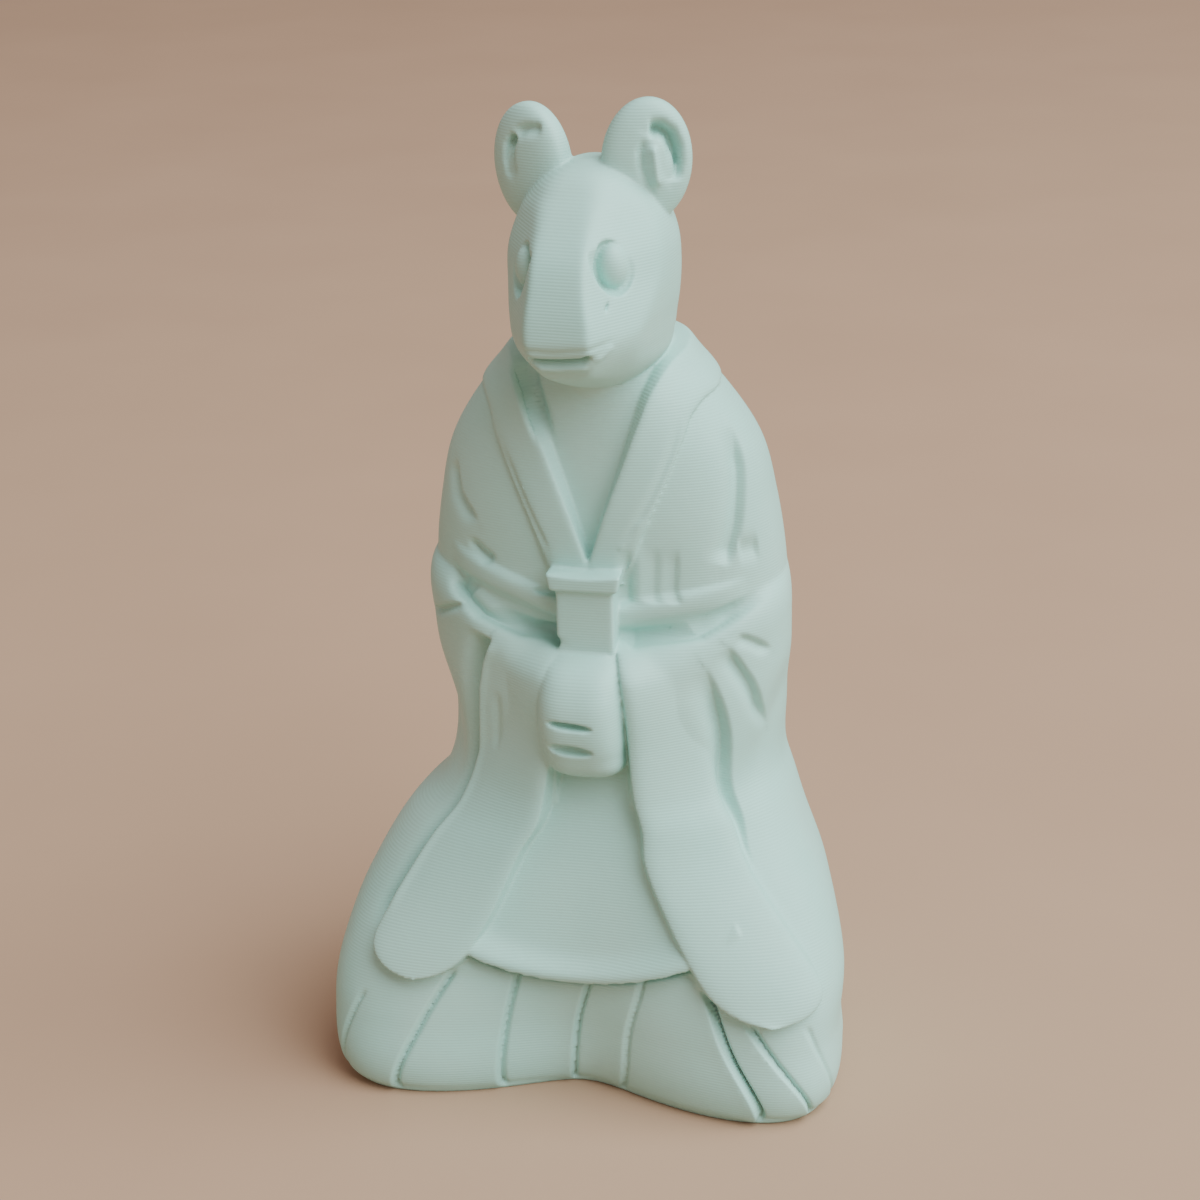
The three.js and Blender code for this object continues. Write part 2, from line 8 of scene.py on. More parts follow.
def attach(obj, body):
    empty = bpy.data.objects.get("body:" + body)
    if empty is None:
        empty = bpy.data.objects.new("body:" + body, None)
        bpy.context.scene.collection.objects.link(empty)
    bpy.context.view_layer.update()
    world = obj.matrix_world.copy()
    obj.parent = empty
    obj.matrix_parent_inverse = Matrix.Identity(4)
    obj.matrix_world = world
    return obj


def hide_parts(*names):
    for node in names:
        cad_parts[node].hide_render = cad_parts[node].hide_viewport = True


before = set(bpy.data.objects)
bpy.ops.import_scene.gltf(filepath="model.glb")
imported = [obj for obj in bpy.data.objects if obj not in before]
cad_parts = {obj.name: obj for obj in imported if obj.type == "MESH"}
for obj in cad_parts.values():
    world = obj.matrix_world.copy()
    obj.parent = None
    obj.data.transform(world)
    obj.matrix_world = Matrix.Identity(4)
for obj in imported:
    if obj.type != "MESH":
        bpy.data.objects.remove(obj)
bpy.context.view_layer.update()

NODE = "zodiac_rat_figure"

HEIGHT = 0.0707  # metres from the underside to the tips of the ears
SHARES = 101
SHARE = HEIGHT / SHARES
MIDDLE = np.array([-0.674, -1.703, 0.0])  # the middle of the underside, in shares
LAYER = 0.0002  # the print's layer height in metres
LEFT, RIGHT = 1, -1  # the figure's own left hand is towards +X, and it faces -Y
X, Y, Z = 0, 1, 2
# How many points each form's grid has round or across it, and how many along it.
GRIDS = dict(
    robe=(560, 300),
    collar=(36, 260),
    sleeve=(90, 260),
    drape=(120, 160),
    panel=(160, 130),
    sash=(160, 30),
    neck=(120, 60),
    head=(460, 280),
    ear=(260, 200),
    root=(96, 64),
    hands=(220, 170),
    bar=(240, 120),
)


def mix(a, b, share):
    """From a to b by a share."""
    return a + (b - a) * share


def hill(x, width):
    """A rounded hill of height 1 that falls to 1/e one width away from 0."""
    return np.exp(-((x / width) ** 2))


def ease(x):
    """0 below 0, 1 above 1, and an S-shaped rise between them."""
    t = np.clip(x, 0, 1)
    return t * t * (3 - 2 * t)


def above(value, level, over):
    """0 up to a level, easing to 1 over a distance beyond it."""
    return ease((value - level) / over)


def below(value, level, over):
    """0 down to a level, easing to 1 over a distance under it."""
    return ease((level - value) / over)


def curves(levels, **rows):
    """Cubic pieces through the rows' values at the levels. The slope at a level is the mean of the
    straight slopes on its two sides, and at an end that of its one side."""
    levels = np.array(levels, float)
    steps = np.diff(levels)

    def at(level):
        level = np.clip(level, levels[0], levels[-1])
        i = np.clip(np.searchsorted(levels, level, side="right") - 1, 0, len(levels) - 2)
        t = (level - levels[i]) / steps[i]
        found = {}
        for name, row in rows.items():
            row = np.array(row, float)
            straight = np.diff(row) / steps
            middle = (straight[1:] + straight[:-1]) / 2
            slope = np.concatenate([straight[:1], middle, straight[-1:]])
            ends = row[i] * (2 * t**3 - 3 * t**2 + 1) + row[i + 1] * (3 * t**2 - 2 * t**3)
            bends = slope[i] * (t**3 - 2 * t**2 + t) + slope[i + 1] * (t**3 - t**2)
            found[name] = ends + steps[i] * bends
        return found

    return at


def skin(points):
    """A closed skin over rings of points. Neighbouring rings share quads, and each end ring is closed by
    a fan to its own middle."""
    rings, sides = points.shape[:2]
    here = np.arange(rings * sides).reshape(rings, sides)
    after = np.roll(here, -1, axis=1)
    quads = np.stack([here[:-1], after[:-1], after[1:], here[1:]], -1).reshape(-1, 4)
    middles = [points[0].mean(0), points[-1].mean(0)]
    first = np.stack([after[0], here[0], np.full(sides, rings * sides)], -1)
    last = np.stack([here[-1], after[-1], np.full(sides, rings * sides + 1)], -1)
    places = np.concatenate([points.reshape(-1, 3), middles])
    return places, quads, np.concatenate([first, last])


def around(turn, radius, z, y=0.0):
    """The point at an angle from the front, a distance from an upright axis and a height."""
    turn, radius, z = np.broadcast_arrays(turn, radius, z)
    return np.stack([radius * np.sin(turn), y - radius * np.cos(turn), z], -1)


def ring(count, crowd=0.0):
    """Angles all the way round from the back, drawn towards the front by crowd times their sine."""
    turn = (np.arange(count) + 0.5) / count * 2 * np.pi - np.pi
    return turn - crowd * np.sin(turn)


def band(name):
    """A flat band's grid. across runs from -1 to 1 over the outer face, where face is 1, and back over
    the inner one, where face is 0. along runs from 0 at the band's one end to 1 at its other."""
    count, length = GRIDS[name]
    row = np.linspace(-1, 1, count)
    across = np.concatenate([row, row[::-1]])
    face = np.concatenate([np.ones(count), np.zeros(count)])
    return across, face, np.linspace(0, 1, length)[:, None]


def spin(points, axis, turn):
    """Points turned about one of the three axes by an angle in degrees."""
    return points @ np.array(Matrix.Rotation(math.radians(turn), 3, "XYZ"[axis])).T


def ball(half):
    """A ball squashed to three half sizes: circles of latitude from its foot to its top."""
    across, up = GRIDS["root"]
    turn, rise = np.meshgrid(ring(across), np.linspace(0.5 / up, 1 - 0.5 / up, up) * np.pi)
    unit = np.stack([np.sin(turn) * np.sin(rise), -np.cos(turn) * np.sin(rise), -np.cos(rise)], -1)
    return unit * np.array(half)


def hollow(points, middle, half):
    """Points in front of a squashed ball's far side are pressed back on to that side, along +Y."""
    q = (points - middle) / half
    reach = 1 - q[..., X] ** 2 - q[..., Z] ** 2
    far = np.sqrt(np.maximum(reach, 0))
    pressed = points.copy()
    pressed[..., Y] = np.where((reach > 0) & (q[..., Y] < far), middle[Y] + far * half[Y], points[..., Y])
    return pressed


def beside(u, v, scale, path):
    """The nearest place on a line of (u, v) places, where lengths along u count scale times. Gives how far
    each point lies from it, positive on the left of the way along it, and the share of the way there."""
    path = np.array(path, float)
    length = np.hypot(*(np.diff(path, axis=0) * (np.mean(scale), 1)).T)
    gone = np.concatenate([[0], np.cumsum(length)]) / length.sum()
    nearest, side, share = np.full(u.shape, np.inf), np.zeros(u.shape), np.zeros(u.shape)
    for i, ((au, av), (bu, bv)) in enumerate(zip(path[:-1], path[1:])):
        start_u, start_v, run_u, run_v = (au - u) * scale, av - v, (bu - au) * scale, bv - av
        t = np.clip(-(start_u * run_u + start_v * run_v) / (run_u**2 + run_v**2), 0, 1)
        to_u, to_v = start_u + t * run_u, start_v + t * run_v
        away = np.hypot(to_u, to_v)
        closer = away < nearest
        nearest = np.where(closer, away, nearest)
        side = np.where(closer, np.sign(run_v * to_u - run_u * to_v), side)
        share = np.where(closer, mix(gone[i], gone[i + 1], t), share)
    return nearest * side, share


# How far above and below its line a crease is worked out, and how soon it starts to show at its ends.
CREASE = dict(reach=4, ends=0.15)


def crease(u, v, scale, path, deep, right, left, fade):
    """A groove along a line, or a ridge where deep is less than 0: a hill across it with its own width on
    the right and on the left of the way along, which fades in and out over a share of the line."""
    path = np.array(path, float)
    near = (v > path[:, 1].min() - CREASE["reach"]) & (v < path[:, 1].max() + CREASE["reach"])
    size = np.broadcast_to(scale, u.shape)[near]
    away, share = beside(u[near], v[near], size, path)
    ends = ease(share / fade[0] + CREASE["ends"]) * ease((1 - share) / fade[1] + CREASE["ends"])
    relief = np.zeros(u.shape)
    relief[near] = -deep * ends * hill(away, np.where(away < 0, right, left))
    return relief


SWELL_REACH = 3.0  # in half sizes behind the ball's middle


def swell(points, middle, half):
    """Points just behind a squashed ball's near side are drawn out on to that side, along -Y."""
    q = (points - middle) / half
    reach = 1 - q[..., X] ** 2 - q[..., Z] ** 2
    near = -np.sqrt(np.maximum(reach, 0))
    drawn = points.copy()
    inside = (reach > 0) & (q[..., Y] > near) & (q[..., Y] < SWELL_REACH)
    drawn[..., Y] = np.where(inside, middle[Y] + near * half[Y], points[..., Y])
    return drawn


# The robe, as outlines one above the other. half is half the width at the axis, front and back are the
# depths from it, valley is how far the skirt falls in between the knees, square makes the front boxier,
# flare widens the outline towards the knees, in hundredths, and aside moves it over.
robe_outline = curves(
    (0, 1.4, 8, 14, 20, 26, 29, 32, 38, 46, 53, 60, 66, 71, 75, 78.5),
    half=(23.5, 24.4, 24.7, 24.1, 23.1, 20.7, 18.7, 17.6, 17.5, 18.0, 18.2, 17.3, 15.8, 12.7, 9.2, 6.9),
    front=(24.8, 25.8, 24.3, 21.4, 18.0, 14.9, 13.4, 12.0, 10.2, 9.4, 9.8, 9.9, 9.4, 8.8, 8.2, 7.2),
    back=(18.2, 19.0, 19.2, 18.6, 17.4, 15.8, 15.0, 14.2, 13.0, 12.3, 12.3, 12.4, 11.8, 10.3, 8.4, 6.6),
    valley=(8.4, 8.4, 6.3, 3.4, 1.6, 0.6, 0.25, 0, 0, 0, 0, 0, 0, 0, 0, 0),
    square=(5.2, 5.2, 4.6, 3.9, 3.3, 2.8, 2.6, 2.4, 2.3, 2.3, 2.3, 2.3, 2.2, 2.1, 2, 2),
    flare=(0.65, 0.65, 0.8, 1.1, 1.0, 0.6, 0.3, 0, 0, 0, 0, 0, 0, 0, 0, 0),
    aside=(-0.3, -0.3, -0.8, -0.4, -0.4, -0.3, 0.6, 0.6, 0.8, 0.4, 0.1, 0, -0.1, -0.3, -0.4, -0.4),
)
ROBE_TOP = 77
VALLEY_WIDTH = np.radians(33)
HUNDREDTHS = 100
ROUND_BACK = 2.3  # the power of the oval at the back
SQUARING = 0.3  # how far from the sides, as a cosine, the back's power gives way to the front's
ROBE_CROWD = dict(front=0.2, ground=0.35)  # how much its grid is drawn to the front and to the ground


def robe_radius(turn, z):
    """The distance from the axis: an oval whose power grows towards the boxier front, less the valley
    between the knees, which is a hill taken away at the front."""
    at = robe_outline(z)
    forward = ease((np.cos(turn) + SQUARING) / (2 * SQUARING))
    power = mix(ROUND_BACK, at["square"], forward)
    depth = np.where(np.cos(turn) > 0, at["front"], at["back"])
    width = np.abs(np.sin(turn) / at["half"]) ** power + np.abs(np.cos(turn) / depth) ** power
    return width ** (-1 / power) - at["valley"] * hill(turn, VALLEY_WIDTH)


def on_robe(turn, z, proud):
    """A point that stands proud of the robe's surface, widened by flare towards the front."""
    at = robe_outline(z)
    place = around(turn, robe_radius(turn, z) + proud, z)
    place[..., X] = at["aside"] + place[..., X] * (1 - at["flare"] * place[..., Y] / HUNDREDTHS)
    return place


def robe_x(points):
    """How far to the side of the robe's axis each point lies, with flare and aside taken out again."""
    at = robe_outline(points[..., Z])
    return (points[..., X] - at["aside"]) / (1 - at["flare"] * points[..., Y] / HUNDREDTHS)


def robe_turn(points):
    """The robe's own angle from the front at each point."""
    return np.arctan2(robe_x(points), -points[..., Y])


# The collar's inner edge, as angles from the front and heights, from the point of the opening round to
# the nape.
collar_run = curves(
    (0, 0.15, 0.3, 0.44, 0.56, 0.66, 0.76, 0.88, 1),
    turn=(-2, 9, 19.5, 31, 43, 62, 95, 138, 181),
    z=(54.4, 60.4, 65.2, 69.8, 73.2, 75.3, 76.1, 76.5, 76.5),
)
COLLAR = dict(width=3.9, proud=0.75, fade=0.5, fall=3, inner_round=0.12, inner_width=0.12)
OPENING = dict(deep=1.1, wider=2.0, lower=0.4, soft=0.3, steps=80)
INSET = 2.2  # how deep a band's inner face lies under the robe's surface
NEAR = 0.01  # the share of the collar's run over which its direction is measured


def opening_depth(turn, z):
    """How far the neck opening is let in: full inside the line of the collar's edge, easing to nothing
    over a short distance outside it."""
    edge = collar_run(np.linspace(0, 1, OPENING["steps"]))
    level, angle = edge["z"] - OPENING["lower"], np.radians(edge["turn"] + OPENING["wider"])
    limit = np.interp(z, level, angle, left=-1)
    return OPENING["deep"] * ease((limit - np.abs(turn)) * robe_radius(turn, z) / OPENING["soft"])


def robe_form():
    """The robe's outlines, with levels closer together near the ground and the neck opening let in."""
    count, length = GRIDS["robe"]
    along = np.linspace(0, 1, length)
    level = ROBE_TOP * mix(along, along**2, ROBE_CROWD["ground"])
    turn, z = np.meshgrid(ring(count, ROBE_CROWD["front"]), level)
    return skin(on_robe(turn, z, -opening_depth(turn, z)))


def collar_form(side):
    """A band with its inner edge on the collar's run. Its width is laid off square to that edge and its
    face falls away towards the outer edge."""
    across, face, along = band("collar")
    here = collar_run(along)
    before, after = collar_run(np.maximum(along - NEAR, 0)), collar_run(np.minimum(along + NEAR, 1))
    radius = robe_radius(np.radians(here["turn"]), here["z"])
    run = np.stack([np.radians(after["turn"] - before["turn"]) * radius, after["z"] - before["z"]])
    run_turn, run_z = run / np.hypot(*run)
    width = COLLAR["width"] * (0.5 + 0.5 * across)
    turn = np.radians(here["turn"]) + run_z * width / radius
    proud = COLLAR["proud"] * (1 - COLLAR["fade"] * np.maximum(across, 0) ** COLLAR["fall"])
    proud = proud - COLLAR["inner_round"] * hill(across + 1, COLLAR["inner_width"])
    return skin(on_robe(side * turn, here["z"] - run_turn * width, np.where(face > 0, proud, -INSET)))


# The hanging sleeves. down goes from 0 at the wrist to 1 at the tip. inner and outer are the angles of
# each sleeve's two edges, and in_proud and out_proud are how far they stand out from the robe.
sleeve_run = curves(
    (0, 0.12, 0.3, 0.48, 0.64, 0.8, 0.92, 1),
    inner_left=(13, 14, 15.2, 18, 21.4, 24.8, 27.8, 30),
    outer_left=(42, 47.5, 52, 52, 49.5, 50, 51, 50),
    inner_right=(13, 14, 16, 17.5, 18.8, 21.3, 23.8, 25),
    outer_right=(43, 49, 51.5, 51, 47, 45, 43, 40),
    in_proud=(5.2, 6.2, 5.2, 3.7, 2.9, 2.5, 2.3, 2.1),
    out_proud=(3.2, 2.4, 1.9, 1.7, 1.6, 1.6, 1.7, 1.8),
)
SLEEVE = dict(top=47.6, deep=8.0, edge_round=0.12, edge_power=8)
SLEEVE_TIP = dict(start=0.86, power=3.2, narrow=0.03)
SLEEVE_LOW = {LEFT: 11.2, RIGHT: 13.2}
SLEEVE_MERGE = {LEFT: 0.42, RIGHT: 0.0}  # the share by which the outer edge sinks into the hip
MERGE = dict(start=0.4, share=0.35)  # where on the way down that begins, and over how much of it
SHELF = 3.4  # the height over which the forearm's top rounds over


def shelf(z, top):
    """A quarter round: 0 at the top line, 1 a shelf's height below it."""
    t = np.clip((top - z) / SHELF, 0, 1)
    return np.sqrt(1 - (1 - t) ** 2)


def sleeve_edges(side, down):
    """The angles of a sleeve's inner and outer edge at each share of the way down it."""
    at = sleeve_run(down)
    names = {LEFT: ("inner_left", "outer_left"), RIGHT: ("inner_right", "outer_right")}
    return [at[name] for name in names[side]]


def sleeve_form(side):
    """A thick tongue over the lap: straight between its two edges, with the edges rounded by a high power
    of the way across, the tip narrowed by a root and the top rolled over."""
    across, face, down = band("sleeve")
    at = sleeve_run(down)
    beyond = np.maximum((down - SLEEVE_TIP["start"]) / (1 - SLEEVE_TIP["start"]), 0)
    tip = np.sqrt(np.maximum(1 - beyond ** SLEEVE_TIP["power"], SLEEVE_TIP["narrow"]))
    inner, outer = sleeve_edges(side, down)
    turn = np.radians(inner + (outer - inner) / 2 * (1 + across * tip))
    z = mix(SLEEVE["top"], SLEEVE_LOW[side], down)
    sunk = at["out_proud"] * (1 - SLEEVE_MERGE[side] * ease((down - MERGE["start"]) / MERGE["share"]))
    proud = mix(at["in_proud"], sunk, (across + 1) / 2)
    rounded = 1 - SLEEVE["edge_round"] * np.abs(across) ** SLEEVE["edge_power"]
    proud = proud * rounded * shelf(z, SLEEVE["top"])
    return skin(on_robe(side * turn, z, np.where(face > 0, proud, proud - SLEEVE["deep"])))


# The sleeve cloth over a forearm: how far it stands out at each angle, and its top line under the sash.
drape_run = curves((10, 20, 33, 45, 55, 70, 85, 98), proud=(4.0, 4.2, 3.9, 3.3, 2.7, 1.8, 0.8, 0.3))
arm_top = {
    LEFT: curves((0, 18, 46, 73, 98), z=(47.2, 47.4, 49.0, 51.8, 53.0)),
    RIGHT: curves((0, 13, 30, 46, 59, 98), z=(47.2, 47.2, 47.8, 49.7, 51.9, 54.5)),
}
DRAPE = dict(inner=16, outer=98, low=25.0, fall=17.0, sunk=0.25)
DRAPE_SIDE = dict(start=50, turn=35, low=39.0, fall=6.0)  # what it becomes at the figure's side


def drape_form(side):
    """The cloth over a forearm rounds over its top line and falls back to the robe in one long slope."""
    across, face, along = band("drape")
    angle = mix(DRAPE["inner"], DRAPE["outer"], (across + 1) / 2)
    top = arm_top[side](angle)["z"]
    aside = ease((angle - DRAPE_SIDE["start"]) / DRAPE_SIDE["turn"])
    low, fall = (mix(DRAPE[name], DRAPE_SIDE[name], aside) for name in ("low", "fall"))
    z = mix(low, top, along)
    stands = drape_run(angle)["proud"] * ease((z - low) / fall)
    proud = (stands + DRAPE["sunk"]) * shelf(z, top) - DRAPE["sunk"]
    return skin(on_robe(side * np.radians(angle), z, np.where(face > 0, proud, -INSET)))


PANEL = dict(half=np.radians(38), top=36.0, proud=0.9, low=13.2, rise=6.0, crowd=1.4)
LIP = dict(proud=1.0, up=0.8, tall=1.3)  # the roll along the panel's lower edge


def panel_hem(across):
    """The panel's lower edge, a curve that rises with the square of the way across."""
    return PANEL["low"] + PANEL["rise"] * across**2


def panel_form():
    """The front panel lies a little proud of the robe, with a rolled hill along its lower edge."""
    across, face, along = band("panel")
    low = panel_hem(across)
    z = mix(low, PANEL["top"], along ** PANEL["crowd"])
    lip = LIP["proud"] * hill(z - low - LIP["up"], LIP["tall"])
    return skin(on_robe(across * PANEL["half"], z, np.where(face > 0, PANEL["proud"] + lip, -INSET)))


SASH = dict(half=np.radians(68), proud=0.9, tall=2.9, low=48.0, curve=1.2, end=6, round=4)
SASH_RISE = {LEFT: 2.8, RIGHT: 5.2}


def sash_low(across):
    """The sash's lower edge, which rises to each side by its own height."""
    rise = np.where(across > 0, SASH_RISE[LEFT], SASH_RISE[RIGHT])
    return SASH["low"] + rise * np.abs(across) ** SASH["curve"]


def sash_form():
    """A rounded band across the waist that thins out towards its ends."""
    across, face, along = band("sash")
    ends, edges = np.abs(across) ** SASH["end"], np.abs(2 * along - 1) ** SASH["round"]
    proud = SASH["proud"] * (1 - ends) * (1 - edges)
    z = sash_low(across) + SASH["tall"] * along
    return skin(on_robe(across * SASH["half"], z, np.where(face > 0, proud, -INSET)))


NECK_LEVELS = (70, 77, 84)
neck_outline = curves(
    NECK_LEVELS,
    half=(6.6, 6.2, 5.6),
    front=(7.2, 8.4, 9.0),
    back=(6.4, 5.6, 3.2),
)


def neck_form():
    """Ovals one above the other, deeper at the front than at the back."""
    count, length = GRIDS["neck"]
    turn, z = np.meshgrid(ring(count), np.linspace(NECK_LEVELS[0], NECK_LEVELS[-1], length))
    at = neck_outline(z)
    depth = np.where(np.cos(turn) > 0, at["front"], at["back"])
    return skin(around(turn, 1 / np.hypot(np.sin(turn) / at["half"], np.cos(turn) / depth), z))


# The head, as outlines about an upright axis. Each is an oval cut flat by the bridge of the snout in
# front and by a cheek plane on each side. The corners between them are crisp up to the eyes and round
# over on the crown.
HEAD_Y = -4.0
HEAD_CROWD = 0.5
HEAD_LEVELS = (73.4, 74.6, 76, 78, 79.8, 81.5, 84.5, 87.5, 90, 92.5, 94.4, 95.4)
SETTLE = dict(x=0.5, pivot=84, tilt=-4, turn=-5.5)  # how the head sits on the neck
head_outline = curves(
    HEAD_LEVELS,
    half=(3.0, 4.8, 6.2, 6.9, 7.3, 7.7, 8.1, 8.1, 7.4, 6.0, 3.8, 1.4),
    front=(4.6, 8.2, 11.6, 16.4, 19.0, 19.0, 18.0, 16.0, 13.0, 9.4, 5.4, 1.8),
    back=(5.0, 7.0, 7.8, 8.2, 8.4, 8.6, 8.8, 8.6, 8.0, 6.6, 4.6, 1.8),
    bridge=(6.0, 9.2, 11.6, 13.2, 14.3, 14.2, 13.3, 11.8, 9.6, 7.0, 4.6, 2.2),
    cheek=(4.6, 6.5, 8.0, 9.5, 10.1, 9.9, 9.3, 8.8, 7.8, 6.5, 4.6, 2.2),
    slant=(56, 56, 57, 58, 59, 60, 59, 56, 54, 52, 50, 50),
    corner=(60, 60, 60, 60, 60, 60, 60, 50, 26, 14, 10, 8),
)
EYE = dict(turn=27.5, faces=47, z=86.8, radius=10.15)
# The wide rim, the socket and the eyeball of an eye, each with its (across, out, up) place and its half
# sizes.
EYE_PARTS = (
    (hollow, (-0.1, 0.1, 0.5), (2.6, 0.3, 3.4)),
    (hollow, (-0.15, 0.25, -0.2), (1.85, 1.7, 2.6)),
    (swell, (0.4, 0.95, -0.4), (1.5, 1.25, 2.1)),
)


def settle(points):
    """A form of the head, tilted and turned a little on the neck."""
    moved = points + (0, -HEAD_Y, -SETTLE["pivot"])
    return spin(spin(moved, Y, SETTLE["tilt"]), Z, SETTLE["turn"]) + (SETTLE["x"], HEAD_Y, SETTLE["pivot"])


def unsettle(points):
    """Points taken back from the tilted and turned head to the upright one."""
    moved = points - (SETTLE["x"], HEAD_Y, SETTLE["pivot"])
    return spin(spin(moved, Z, -SETTLE["turn"]), Y, -SETTLE["tilt"]) + (0, HEAD_Y, SETTLE["pivot"])


def head_form():
    """Each outline's radius is a high-powered mean of an oval and three planes, so it follows whichever
    is nearest with rounded corners. Sockets are then pressed in and eyeballs drawn out."""
    count, length = GRIDS["head"]
    up = 0.5 - 0.5 * np.cos(np.pi * np.linspace(0, 1, length))
    turn, z = np.meshgrid(ring(count, HEAD_CROWD), mix(HEAD_LEVELS[0], HEAD_LEVELS[-1], up))
    at = head_outline(z)
    depth = np.where(np.cos(turn) > 0, at["front"], at["back"])
    total = np.hypot(np.sin(turn) / at["half"], np.cos(turn) / depth) ** at["corner"]
    for slant, reach in ((0, "bridge"), (at["slant"], "cheek"), (-at["slant"], "cheek")):
        total = total + np.maximum(np.cos(turn - np.radians(slant)) / at[reach], 0) ** at["corner"]
    points = around(turn, total ** (-1 / at["corner"]), z, HEAD_Y)
    for side in (LEFT, RIGHT):
        place = around(side * np.radians(EYE["turn"]), EYE["radius"], EYE["z"], HEAD_Y)
        local = spin(points - place, Z, -side * EYE["faces"])
        for change, (across, out, up), half in EYE_PARTS:
            local = change(local, np.array([side * across, out, up]), np.array(half))
        points = spin(local, Z, side * EYE["faces"]) + place
    return skin(settle(points))


EAR = dict(x=5.8, y=-3.8, z=94.75, half=4.4, tall=6.1, thick=2.1, turn=20, edge=0.7)
EAR_START = 0.004  # the first ring's share of the way from the face's middle to the back's
EAR_FACE = 6  # how soon the grooves reach their full depth inside the rim
EAR_LEAN = {LEFT: 8, RIGHT: 1}  # in degrees: the right ear stands nearly upright
EAR_ROOT = dict(x=4.4, y=-3.9, z=92.4, half=3.6, tall=5.4, deep=1.9, lean=28)
# Grooves in the ears' faces, and ridges, whose depth is less than 0: a line of (outwards, up) places,
# the depth, the widths on the right and on the left of the way along it, and how soon it fades.
EAR_RIM = ((-0.1, 3.0), (0.9, 3.1), (1.7, 2.6), (2.2, 1.5), (2.35, 0.1), (2.2, -1.6))
EAR_GROOVES = {
    LEFT: (
        (EAR_RIM, 2.2, 0.4, 0.8, (0.1, 0.2)),
        (((0.45, 2.0), (0.8, 0.0), (1.2, -2.2)), -0.7, 0.6, 0.35, (0.2, 0.2)),
        (((-0.4, 2.4), (-0.8, 1.1), (-0.6, -0.6), (0.1, -2.4), (0.7, -3.6)), 0.45, 0.3, 0.35, (0.2, 0.2)),
    ),
    RIGHT: (
        (((-2.7, 3.7), (-0.9, 3.7), (0.5, 3.3)), 0.75, 0.55, 0.5, (0.3, 0.3)),
        (((0.5, 3.3), (1.3, 2.2), (1.5, 0.8), (1.3, -0.9)), 1.6, 0.5, 0.35, (0.2, 0.2)),
    ),
}


def ear_form(side):
    """A thick oval disc whose rings run from the middle of its face over the rim to the middle of its
    back, with grooves pressed into the face."""
    count, length = GRIDS["ear"]
    turn, along = np.meshgrid(ring(count), np.linspace(EAR_START, 1 - EAR_START, length))
    reach, level = np.sin(np.pi * along), np.cos(np.pi * along)
    out = EAR["thick"] * np.sign(level) * np.abs(level) ** EAR["edge"]
    outwards, up = EAR["half"] * reach * np.sin(turn), EAR["tall"] * reach * np.cos(turn)
    pressed = sum(crease(outwards, up, 1.0, *groove) for groove in EAR_GROOVES[side])
    out = out + pressed * ease(level * EAR_FACE)
    disc = np.stack([side * outwards, -out, up], -1)
    disc = spin(spin(disc, Y, side * EAR_LEAN[side]), Z, side * EAR["turn"])
    return skin(settle(disc + (side * EAR["x"], EAR["y"], EAR["z"])))


def ear_root_form(side):
    """The squashed ball by which an ear grows out of the crown."""
    root = spin(ball((EAR_ROOT["half"], EAR_ROOT["deep"], EAR_ROOT["tall"])), Y, side * EAR_ROOT["lean"])
    return skin(settle(root + (side * EAR_ROOT["x"], EAR_ROOT["y"], EAR_ROOT["z"])))


# The joined hands, as outlines one above the other.
HAND_LEVELS = (33.7, 34.5, 37, 40.5, 43.4, 45.5, 46.7)
hand_outline = curves(
    HAND_LEVELS,
    x=(0.4, 0.2, -0.1, -0.3, -0.3, -0.3, -0.3),
    half=(1.8, 3.5, 4.3, 4.5, 4.4, 4.1, 3.8),
    front=(13.2, 15.2, 16.8, 17.3, 16.6, 15.0, 12.9),
)
HANDS = dict(square=3.2, back=6.0, crowd=0.3)
FINGER_SLOT = dict(x=-0.9, y=-17.4, dip=5)
SLOTS = ((40.7, (2.6, 1.5, 0.4)), (38.0, (2.6, 1.5, 0.65)))  # their heights and half sizes


def hands_form():
    """Rounded squares one above the other, with two thin slots pressed in between the fingers."""
    count, length = GRIDS["hands"]
    levels = np.linspace(HAND_LEVELS[0], HAND_LEVELS[-1], length)
    turn, z = np.meshgrid(ring(count, HANDS["crowd"]), levels)
    at = hand_outline(z)
    depth = (at["front"] - HANDS["back"]) / 2
    power = HANDS["square"]
    reach = np.abs(np.sin(turn) / at["half"]) ** power + np.abs(np.cos(turn) / depth) ** power
    points = around(turn, reach ** (-1 / power), z, -HANDS["back"] - depth)
    points[..., X] += at["x"]
    for level, half in SLOTS:
        place = np.array([FINGER_SLOT["x"], FINGER_SLOT["y"], level])
        local = hollow(spin(points - place, Y, -FINGER_SLOT["dip"]), np.zeros(3), np.array(half))
        points = spin(local, Y, FINGER_SLOT["dip"]) + place
    return skin(points)


TABLET = dict(half=2.95, front=-12.4, back=-8.6, low=44.0, top=53.6, rim=0.3, flare=0.0, dish=0.0)
CAP = dict(half=3.5, front=-12.9, back=-9.4, low=53.4, top=55.3, rim=0.3, flare=0.4, dish=0.35)
BAR_POWER = 18


